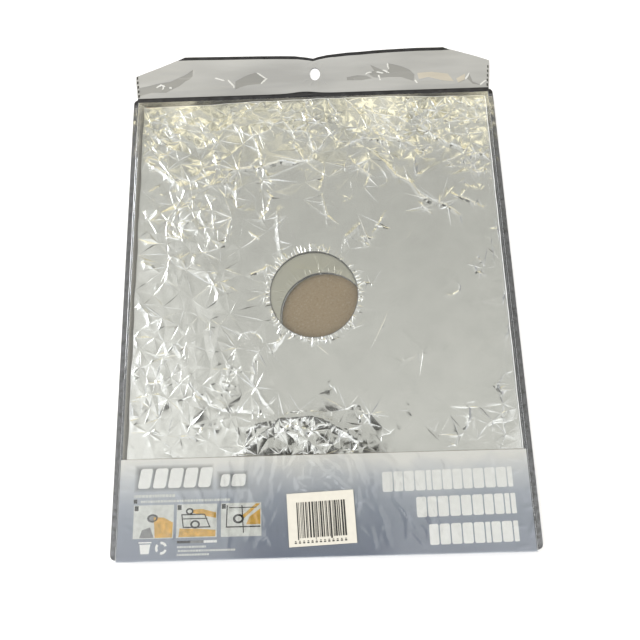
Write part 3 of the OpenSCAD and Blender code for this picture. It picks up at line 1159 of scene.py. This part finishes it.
def film_wrinkles(points):
    """Soft ripples of the front film, strongest over the flap and round the label."""
    rng = np.random.default_rng(77)
    rise = np.zeros(len(points))
    for _ in range(170):
        start = np.array([rng.normal(LABEL.cx + 4, 52), rng.uniform(FRONT.y0 + 4, FLAP_TOP_Y - 6)])
        lean = 28 if start[0] > LABEL.cx else -18
        heading = math.radians(90 + rng.normal(0, 22) + lean)
        step = rng.uniform(4, 12)
        line = [start, start + step * heading_step(heading)]
        line.append(line[-1] + step * heading_step(heading + 0.3))
        rise += rng.uniform(0.12, 0.36) * ridge(points, line, rng.uniform(1.2, 2.0), 0.4)
    for _ in range(70):
        x = rng.uniform(FRONT.x0 + 6, FRONT.x1 - 6)
        start = np.array([x, rng.uniform(FLAP_TOP_Y, FRONT.y1 - 4)])
        heading = rng.uniform(0, math.pi)
        line = [start, start + rng.uniform(10, 40) * heading_step(heading)]
        rise += rng.uniform(0.05, 0.16) * ridge(points, line, rng.uniform(2, 3.5), 0.8)
    for side in (-1, 1):
        for _ in range(46):
            x = side * rng.uniform(112, 127)
            y = rng.uniform(FRONT.y0 + 3, FRONT.y1 - 3)
            line = [(x, y), (x + side * rng.uniform(4, 12), y + rng.uniform(-4, 4))]
            rise += rng.uniform(0.06, 0.22) * ridge(points, line, rng.uniform(1.2, 2.2), 0.6)
    return rise


# The film's rise, as a share of the whole, at places inward from its side and bottom edges
SIDE_PLACES = [0.0, 0.9, 1.8, 2.7, 3.6, 4.5, 5.1, 5.3, 5.4, 5.5, 5.62, 5.8, 6.1, 6.9, 8.2]
SIDE_RISE = [0, 0, 0, 0, 0, 0.01, 0.05, 0.2, 0.5, 0.8, 0.94, 0.99, 1.0, 1.0, 1.0]
END_PLACES = [0.0, 0.02, 0.05, 0.12, 0.25, 0.5, 1.2]
END_RISE = [0.0, 0.3, 0.55, 0.78, 0.92, 0.99, 1.0]

# How far the film stops short of the CAD's, at the mouth
MOUTH_GAP = 2.4


def make_front_film():
    """The clear film: flat over the contents, sloped to its side flanges, wrapped round the end."""
    half = FRONT.x1
    from_edge = np.concatenate([SIDE_PLACES, np.arange(9.4, half, 1.4)])
    xs = np.concatenate([-half + from_edge, (half - from_edge)[::-1]])
    ys = np.concatenate([
        FRONT.y0 + np.array(END_PLACES),
        np.arange(FRONT.y0 + 2, FLAP_TOP_Y + 2, 0.95),
        np.linspace(FLAP_TOP_Y + 2, FRONT.y1 - MOUTH_GAP, 112),
    ])
    rise_x = np.interp(half - np.abs(xs), SIDE_PLACES, SIDE_RISE)
    rise_y = np.interp(ys - FRONT.y0, END_PLACES, END_RISE)
    flat = grid_points(xs, ys)
    x, y = flat[:, 0], flat[:, 1]
    lift = np.outer(rise_y, rise_x).ravel()
    over = smoothstep(lift, 0.7, 1.0)
    low, high = FRONT.z0 + 0.05, FRONT.z1 - 0.22
    beside = np.maximum(np.abs(x - LABEL.cx) - 20, np.abs(y - LABEL.cy) - 15)
    pressed = 0.1 + 0.9 * smoothstep(beside, 0, 3)
    z = low + (high - low) * lift
    z += over * (pressed * film_wrinkles(flat) + 0.05 * waves(flat, 21, 45))
    rim = np.clip(1 - lift * 3, 0, 1) * smoothstep(y, FRONT.y0 + 1, FRONT.y0 + 6)
    rough = np.random.default_rng(8).random(len(flat))
    z += rim * (0.16 * np.abs(waves(flat, 22, 5)) + 0.12 * rough)
    edge = np.clip(1 - (half - np.abs(x)) / 6, 0, 1)
    corner = smoothstep(y, FRONT.y0 + 3, FRONT.y0)
    inward = edge * (0.3 + 0.3 * waves(flat, 23, 60)) * 0.6 + edge * corner * 1.6
    top = np.column_stack([x - np.sign(x) * inward, y, z])
    verts, faces, _ = shell(top, grid_faces(len(ys), len(xs)), FRONT_T)
    piece = make_object("front_film_skin", verts, faces, [CLEAR], None, 60)
    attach(piece, "bag")
    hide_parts("front_film")


# ---------------------------------------------------------------- header

HEADER_UP = 37.0
CORNER_UP = 20.0
CORNER_X = BACKING.x1
BASE_X = CREASE.x1
TOP_X = CORNER_X - 34.0

# How far the header's top edge lies below a straight line, at places in X
TOP_DROP = (
    [-96, -70, -39, -23, -13, -3, 0.9, 4.8, 11.9, 17, 27, 37, 47, 57, 67, 80, 104],
    [2.1, 2.6, 3.2, 3.7, 4.2, 5.9, 6.9, 5.6, 4.1, 3.6, 2.6, 2.2, 1.5, 1.1, 0.8, 0.5, 0.8],
)


def header_half_width(up):
    """Half width of the header at a height above the crease."""
    return np.interp(up, [0, CORNER_UP, HEADER_UP], [BASE_X, CORNER_X, TOP_X])


def header_place(flat):
    """Where points of the flat header really lie: kinked at the top, pulled up at the right."""
    x, up = flat[:, 0], flat[:, 1]
    drop = np.interp(x, *TOP_DROP)
    low = np.where(np.abs(x - HANG[0]) < 14, 23.5, 10.0)
    y = CREASE_Y + up - drop * smoothstep(up, low, HEADER_UP - 1)
    y += 3.3 * smoothstep(x, 96, CORNER_X) * smoothstep(up, 6, CORNER_UP)
    y += 1.5 * np.exp(-(((x + 6) / 11.0) ** 2)) * (1 - smoothstep(up, 0.3, 7)) * (up > 0.2)
    near = 1 - smoothstep(np.hypot(x - HANG[0], y - HANG[1]), HANG_R, 10.0)
    y += 0.3 * near * (y - HANG[1])
    x = x + 3.0 * smoothstep(-x, 60, 96) * smoothstep(up, CORNER_UP - 8, HEADER_UP)
    return np.column_stack([x, y])


def inside(points, outline):
    """Which points lie inside a closed outline."""
    outline = np.asarray(outline, float)
    hits = np.zeros(len(points), int)
    for (ax, ay), (bx, by) in zip(outline, np.roll(outline, -1, axis=0)):
        spans = (ay > points[:, 1]) != (by > points[:, 1])
        rise = by - ay if by != ay else 1e-12
        hits += spans & (points[:, 0] < (bx - ax) * (points[:, 1] - ay) / rise + ax)
    return hits % 2 == 1


# Where the frosted film clings to the back film behind it, whose near-black is painted shade, in
# millimetres
CLINGING = [
    [(-131, 151), (-123, 152.6), (-113, 154.8), (-107, 156), (-98, 161), (-95, 163.2), (-92, 166.3),
     (-91, 160.1), (-93, 157.2), (-96, 155.6), (-100, 151.7), (-110, 146.3), (-121, 146.7),
     (-130, 144.4)],
    [(-58, 154.2), (-52, 158), (-43, 162), (-38, 157.5), (-36, 155.6), (-39, 151.1), (-49, 150.3),
     (-54, 148.8), (-58, 147.2)],
    [(42, 157.3), (47, 159.4), (44, 165.4), (53, 159.8), (57, 157.3), (58, 165.5), (67, 162.8),
     (73, 159.6), (77, 154.8), (76, 149), (67, 152.9), (58, 153.2), (51, 152.9), (46, 153.6)],
    [(26, 154.4), (34, 155.9), (41, 155.3), (45, 152.6), (37, 151.4), (26, 151.9)],
    [(118, 153.2), (120, 147.3), (126, 143.9), (120, 145.3), (116, 149.8)],
]

# Glossy bulges of the same film, their colour painted warm as a reflection of warm light
BULGES_WITH_WARM_REFLECTION = [
    [(79, 155.9), (90, 156.6), (102, 154.4), (106, 147.9), (98, 148.7), (87, 152.1), (80, 150.6)],
    [(108, 150.1), (115, 153.4), (114, 148.7), (109, 146.6)],
]

# Small sharp kinks in it, whose crests are painted bright as glints of light
GLINTING_KINKS = [
    [(-118, 151), (-114, 153), (-112, 152), (-113, 149)], [(-108, 150.5), (-106, 150)],
    [(-64, 156), (-60, 151), (-58.5, 148)], [(-42, 162), (-35, 155.5)], [(-39, 151), (-34, 156)],
    [(40, 157), (45, 158.5)], [(48, 158.5), (54, 157)], [(50, 155.5), (51, 151)],
    [(53.5, 160), (58, 157)], [(57, 166), (58, 160)], [(114.5, 149), (118.5, 154)],
    [(125, 144), (130, 148)], [(77, 150), (78.5, 147.5)], [(-74, 158), (-66, 155)],
]


# Long soft creases just above the fold: from X to X, and from Y to Y
LONG_CREASES = ((-126, -20, 147.2, 149.6), (12, 118, 149.0, 145.2), (-60, 0, 151, 150.4))


def header_creases(rng):
    """Soft waves and fine creases of the frosted film: line, height, flank and bluntness."""
    creases = [(np.array(line), 0.4, 0.6, 0.0) for line in GLINTING_KINKS]
    for _ in range(34):
        start = np.array([rng.uniform(-122, 110), CREASE_Y + rng.uniform(5, 27)])
        heading = rng.normal(0, 0.3)
        line = np.array([start, start + rng.uniform(8, 30) * heading_step(heading)])
        creases.append((line, rng.uniform(0.03, 0.1), rng.uniform(1.2, 2.6), 0.6))
    middle = np.array(HANG)
    for angle in range(0, 360, 24):
        out = heading_step(math.radians(angle + rng.uniform(-9, 9))) * [1, 1.2]
        line = np.array([middle + out * 4.6, middle + out * rng.uniform(7, 15)])
        creases.append((line, rng.uniform(0.15, 0.3), 0.6, 0.2))
    creases.append((middle + [(-1.0, 6.0), (-1.5, 12.0)], 0.35, 1.6, 0.1))
    for x0, x1, y0, y1 in LONG_CREASES:
        line = [(x0, y0), ((x0 + x1) / 2, (y0 + y1) / 2 - 0.6), (x1, y1)]
        creases.append((np.array(line), 0.22, 2.0, 0.5))
    return creases


def header_outline(top):
    """The frosted strip's edge above the crease, as a closed row of points."""
    half = float(header_half_width(top))
    corners = [
        (-BASE_X, 0.5), (BASE_X, 0.5), (CORNER_X, CORNER_UP), (half, top), (-half, top),
        (-CORNER_X, CORNER_UP),
    ]
    outline = []
    for (ax, ay), (bx, by) in zip(corners, corners[1:] + corners[:1]):
        count = max(1, int(math.hypot(bx - ax, by - ay) / 1.5))
        outline += [(ax + (bx - ax) * i / count, ay + (by - ay) * i / count) for i in range(count)]
    return outline


def draw_header(rng, outline, hole, creases, top):
    """The strip's edge, hole, patches and creases, and loose points between them."""
    drawing = Drawing()
    patches = [[(x, y - CREASE_Y) for x, y in patch] for patch in CLINGING + BULGES_WITH_WARM_REFLECTION]
    for loop in (outline, hole, *patches):
        drawing.add_line(loop, closed=True)
    for line, _, width, _ in creases:
        line = wiggle(line, rng, 1.2, 0.1) - [0, CREASE_Y]
        from_hole = np.hypot(line[:, 0] - HANG[0], line[:, 1] + CREASE_Y - HANG[1])
        if not (inside(line, outline) & (from_hole > 4.3)).all():
            continue
        drawing.add_line(line)
        aside = width * sideways(line)
        feet = np.concatenate([line + aside, line - aside])
        drawing.points.extend(feet[inside(feet, outline)].tolist())
    drawing.points.extend(jittered(rng, -CORNER_X, CORNER_X, 0.5, top, 1.5).tolist())
    return drawing


def make_header():
    """The frosted strip on the header, with its clinging patches, its glossy bulges with a painted warm
    reflection, and its kinks painted bright as glints.
    """
    rng = np.random.default_rng(31)
    top = HEADER_UP - 3.0
    outline = header_outline(top)
    turn = np.linspace(0, 2 * math.pi, 49)[:-1]
    hole = [(HANG[0] + 3.9 * math.cos(a), HANG[1] - CREASE_Y + 4.05 * math.sin(a)) for a in turn]
    creases = header_creases(rng)
    drawing = draw_header(rng, outline, hole, creases, top)
    flat, triangles = triangulate(drawing.points, drawing.edges)
    middle = flat[triangles].mean(1)
    triangles = triangles[inside(middle, outline) & ~inside(middle, hole)]
    middle = flat[triangles].mean(1) + [0, CREASE_Y]
    real = flat + [0, CREASE_Y]
    rise = 0.1 * waves(real, 32, 42)
    for line, height, width, blunt in creases:
        rise += height * ridge(real, line, width, blunt)
    kinds = np.zeros(len(triangles), int)
    for patch in CLINGING:
        kinds[inside(middle, patch)] = 1
        rise -= 0.16 * inside(real, patch)
    # the glossy bulges take a warm colour: a painted reflection
    for patch in BULGES_WITH_WARM_REFLECTION:
        kinds[inside(middle, patch)] = 2
        rise += inside(real, patch) * (0.2 + 0.12 * waves(real, 36, 5))
    # the faces along the kinks' crests are painted bright: painted glints
    for line in GLINTING_KINKS:
        kinds[ridge(middle, line, 0.9) > 0.32] = 3
    share = np.clip(flat[:, 1] / 4, 0, 1) * np.clip((top - flat[:, 1]) / 2, 0.3, 1)
    # the board slides over the folded-flat header, so the relief stays under it
    headroom = CARD.z0 - 0.03 - STRIP.z0 - 0.22
    level = STRIP.z0 + 0.1 + share * (0.12 + headroom * np.tanh(rise / headroom))
    points = np.column_stack([header_place(flat), level])
    verts, faces, sides = shell(points, triangles.tolist(), STRIP_T)
    looks = np.zeros(len(sides), int)
    looks[: len(kinds)] = kinds
    materials = [FROSTED, CLUNG, WARM_REFLECTION_PAINT, GLINT_PAINT]
    piece = make_object("header_strip_skin", verts, faces, materials, looks, 14)
    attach(piece, "header")
    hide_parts("header_strip")


def hole_grid(xs, ys, hole, radius, spread):
    """Grid points pulled into rings round a hole, and the faces that are left outside it."""
    points = grid_points(xs, ys)
    rel = points - np.asarray(hole)
    square = np.abs(rel).max(1)
    length = np.maximum(np.linalg.norm(rel, axis=1), 1e-9)
    share = np.clip((square - radius) / (spread - radius), 0, 1)[:, None]
    circle = np.asarray(hole) + rel / length[:, None] * np.maximum(square, radius)[:, None]
    near = (square < spread)[:, None]
    moved = np.where(near, circle * (1 - share) + points * share, points)
    faces = [
        face for face in grid_faces(len(ys), len(xs)) if square[list(face)].max() > radius + 1e-6
    ]
    return moved, faces


def split_range(low, middle, reach, high):
    """Places from low to high, about 1 mm apart, with lines exactly reach each side of middle."""
    ends = (low, middle - reach, middle + reach, high)
    parts = [
        np.linspace(a, b, max(2, int(round(b - a)) + 1))[:-1] for a, b in zip(ends, ends[1:])
    ]
    return np.concatenate([*parts, [high]])


# Soft folds of the back film, whose near-black is painted shade, just below the crease: from X, Y to X,
# Y, height and flank
MOUTH_FOLDS = (
    (-22, -2.2, 12, -1.6, 0.5, 1.8),
    (-22, -4.4, 8, -4.8, 0.4, 1.2),
    (-128, -2.2, -60, -2.8, 0.3, 1.2),
    (-120, -6.0, -66, -5.0, 0.35, 1.2),
    (40, -2.4, 126, -2.0, 0.3, 1.2),
)


def pouch_rows(us, radius, last):
    """Rows of the pouch's back from its bottom edge to its last row, with rounded corners."""
    ys = np.concatenate([
        BACK.y0 + radius * (1 - np.cos(np.linspace(0, math.pi / 2, 6)))[:-1],
        np.linspace(BACK.y0 + radius, last - radius, 130),
        last - radius * (1 - np.sin(np.linspace(0.2, math.pi / 2, 6))),
    ])
    rows = []
    for y in ys:
        deep = max(radius - min(y - BACK.y0, last - y), 0)
        half = BACK.x1 - radius + math.sqrt(max(radius ** 2 - deep ** 2, 0))
        rows.append(np.column_stack([us / CORNER_X * max(half, BASE_X), np.full(len(us), y)]))
    return rows


def make_back_film():
    """The back film from the pouch's bottom edge to the header's top edge, in one piece. Its near-black
    colour is painted shade, for the shade and dark reflections seen through the clear film round the
    contents and at the header.
    """
    hole = (HANG[0], HANG[1] - CREASE_Y)
    us = split_range(-CORNER_X, hole[0], HANG_R, CORNER_X)
    vs = split_range(0.0, hole[1], HANG_R, HEADER_UP)
    flat, faces = hole_grid(us, vs, hole, HANG_R, 9.0)
    share = smoothstep(np.abs(flat[:, 0] - hole[0]), 12, 40)
    narrow = header_half_width(flat[:, 1]) / CORNER_X
    flat[:, 0] *= 1 - share + share * narrow
    rows = pouch_rows(us, 3.0, CREASE_Y - 0.6)
    columns = len(us)
    first = len(rows) * columns
    faces = [tuple(i + first for i in f) for f in faces]
    points = np.concatenate([*rows, header_place(flat)])
    margin = np.clip(1 - (BACK.x1 - np.abs(points[:, 0])) / 7, 0, 1) * (points[:, 1] < CREASE_Y)
    z = 0.2 + margin * 0.05 * np.abs(waves(points, 52, 6))
    z -= 0.05 * (points[:, 1] > CREASE_Y)
    for x0, y0, x1, y1, height, width in MOUTH_FOLDS:
        z += height * ridge(points, [(x0, CREASE_Y + y0), (x1, CREASE_Y + y1)], width, 0.4)
    faces = grid_faces(len(rows) + 1, columns) + faces
    verts, faces, _ = shell(np.column_stack([points, z]), faces, BACK_T)
    piece = make_object("back_film_skin", verts, faces, [BACK_FILM_SHADE], None, 50)
    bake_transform(piece)
    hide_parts("back_film", "header_backing", "header_crease")


# ---------------------------------------------------------------- label

LABEL_TURN = math.radians(2.3)
LABEL_W = 41.4
LABEL_H = 30.8


def on_label(x, y):
    """The place of a point of the turned label."""
    across, up = math.cos(LABEL_TURN), math.sin(LABEL_TURN)
    return (LABEL.cx + x * across - y * up, LABEL.cy + x * up + y * across)


def make_label():
    """Paper label with plain bars and ticks in place of a readable code."""
    lift = FRONT.z1 + 0.08
    us = np.linspace(-LABEL_W / 2, LABEL_W / 2, 22)
    vs = np.linspace(-LABEL_H / 2, LABEL_H / 2, 18)
    grid = grid_points(us, vs)
    flat = np.array([on_label(u, v) for u, v in grid])
    curl = 0.1 * np.clip((np.abs(grid[:, 0]) - 17) / 3.5, 0, 1) ** 2
    z = lift + curl + 0.03 * waves(flat, 61, 25)
    verts, faces, _ = shell(np.column_stack([flat, z]), grid_faces(len(vs), len(us)), LABEL_T)
    sheet = make_object("label_sheet", verts, faces, [LABEL_PAPER], None, 50)
    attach(sheet, "bag")
    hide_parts("barcode_label")
    rng = np.random.default_rng(90)
    bars, x = [], -15.0
    while x < 15.4:
        w = rng.choice([0.33, 0.33, 0.66, 1.0])
        deep = -11.6 if len(bars) % 9 == 0 else -10.6
        bars.append(rect(x, deep, x + w, 10.0))
        x += w + rng.choice([0.33, 0.5, 0.8])
    ticks = []
    for i in range(13):
        x = -17.2 + i * 2.55
        ticks += [rect(x, -13.6, x + 1.3, -12.9), rect(x + 0.2, -12.5, x + 1.1, -12.1)]
    for name, shapes in (("label_bars", bars), ("label_ticks", ticks)):
        shapes = [[on_label(*corner) for corner in shape] for shape in shapes]
        print_piece(name, shapes, BLACK_INK, lift + 0.08, 0.02, "bag")


# ---------------------------------------------------------------- CAD nodes that stay

def dress_cad_nodes():
    for node, material in (
        ("left_side_weld", MELTED), ("right_side_weld", MELTED), ("bottom_weld", MELTED),
        ("adhesive_strip", GLUE), ("header_left_weld", MARK), ("header_right_weld", MARK),
    ):
        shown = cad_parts[node]
        shown.data.materials.clear()
        shown.data.materials.append(material)


# ---------------------------------------------------------------- stage

def make_floor():
    size = 3.0
    mesh = bpy.data.meshes.new("floor")
    mesh.from_pydata(
        [(-size, -size, 0), (size, -size, 0), (size, size, 0), (-size, size, 0)],
        [],
        [(0, 1, 2, 3)],
    )
    look = Look("floor")
    look.paint(
        (0.93, 0.93, 0.95, 1),
        0.9,
        Specular_IOR_Level=0.1,
        Emission_Color=(0.98, 0.99, 1.0, 1),
        Emission_Strength=0.16,
    )
    mesh.materials.append(look.material)
    add_to_scene("floor", mesh)


def make_world():
    """Soft studio: a grey ceiling that the flat foil mirrors, white round it, warm at the far end."""
    world = bpy.data.worlds.new("studio")
    bpy.context.scene.world = world
    world.use_nodes = True
    sky = Nodes(world.node_tree)
    spot = sky.add("TexCoord", {}).outputs["Generated"]
    x, y, z = sky.axes(spot)
    far = sky.remap(y, 0.46, 0.6, 0, 1)
    aside = sky.remap(sky.math("ABSOLUTE", x), 0.06, 0.2, 0, 1)
    low_down = sky.remap(z, 0.35, 0.6, 0, 1)
    warmth = sky.times(sky.times(far, aside), low_down)
    ring = sky.mix(warmth, (1.35, 1.35, 1.33), (1.4, 1.22, 0.72))
    right = sky.times(sky.remap(x, 0.45, 0.62, 0, 0.8), low_down)
    ring = sky.mix(right, ring, (0.3, 0.3, 0.31))
    near = sky.remap(y, 0.4, -0.06, 0, 1)
    middle = sky.mix(near, (0.54, 0.535, 0.49), (0.66, 0.655, 0.605))
    side = sky.mix(near, (0.62, 0.615, 0.565), (0.92, 0.915, 0.86))
    ceiling = sky.mix(sky.remap(x, -0.14, -0.36, 0, 1), middle, side)
    lamps = sky.ramp(sky.noise(7.5, 2, 0.5, place=spot), [
        (0.4, (0.24, 0.23, 0.19)),
        (0.48, (0.5, 0.48, 0.37)),
        (0.55, (1.3, 1.2, 0.84)),
        (0.63, (2.0, 1.85, 1.35)),
    ])
    ends = sky.remap(sky.away(x, -0.02), 0.02, 0.26, 0.5, 1)
    beyond = sky.times(sky.remap(y, 0.47, 0.58, 0, 0.9), ends)
    ceiling = sky.mix(beyond, ceiling, lamps)
    tilted = sky.math("ADD", sky.times(y, 0.25), sky.times(z, 0.968))
    studio = sky.mix(sky.remap(tilted, 0.87, 0.75, 0, 1), ceiling, ring)
    # whoever takes the picture stands at the pack's bottom edge
    wide = sky.remap(sky.away(x, -0.03), 0.1, 0.17, 1, 0)
    deep = sky.times(sky.remap(y, -0.03, -0.09, 0, 1), sky.remap(y, -0.44, -0.36, 0, 1))
    studio = sky.mix(sky.times(wide, deep), studio, (0.07, 0.068, 0.06))
    sky.feed(sky.tree.nodes["Background"], {"Color": studio, "Strength": 1.0})


def make_light():
    """A soft window to the left."""
    data = bpy.data.lights.new("window", "AREA")
    data.shape = "RECTANGLE"
    data.size = 0.8
    data.size_y = 0.8
    data.energy = 12.0
    data.color = (1.0, 0.99, 0.97)
    lamp = add_to_scene("window", data)
    lamp.location = (-1.3, 0.45, 0.75)
    lamp.rotation_euler = (-lamp.location).to_track_quat("-Z", "Y").to_euler()


def make_camera():
    """The photo's camera, fitted to the pack's edges."""
    data = bpy.data.cameras.new("camera")
    data.sensor_width = 36.0
    data.lens = 24.75
    data.clip_start = 0.01
    data.clip_end = 50
    camera = add_to_scene("camera", data)
    camera.location = (0.0026, -0.0847, 0.2938)
    camera.rotation_euler = (math.radians(10.38), math.radians(0.7), math.radians(-1.63))
    bpy.context.scene.camera = camera


make_camera()
make_back_film()
make_board()
make_print()
make_foil()
make_folds()
make_front_film()
make_header()
make_label()
dress_cad_nodes()
make_floor()
make_world()
make_light()
bpy.context.scene.view_settings.view_transform = "Standard"
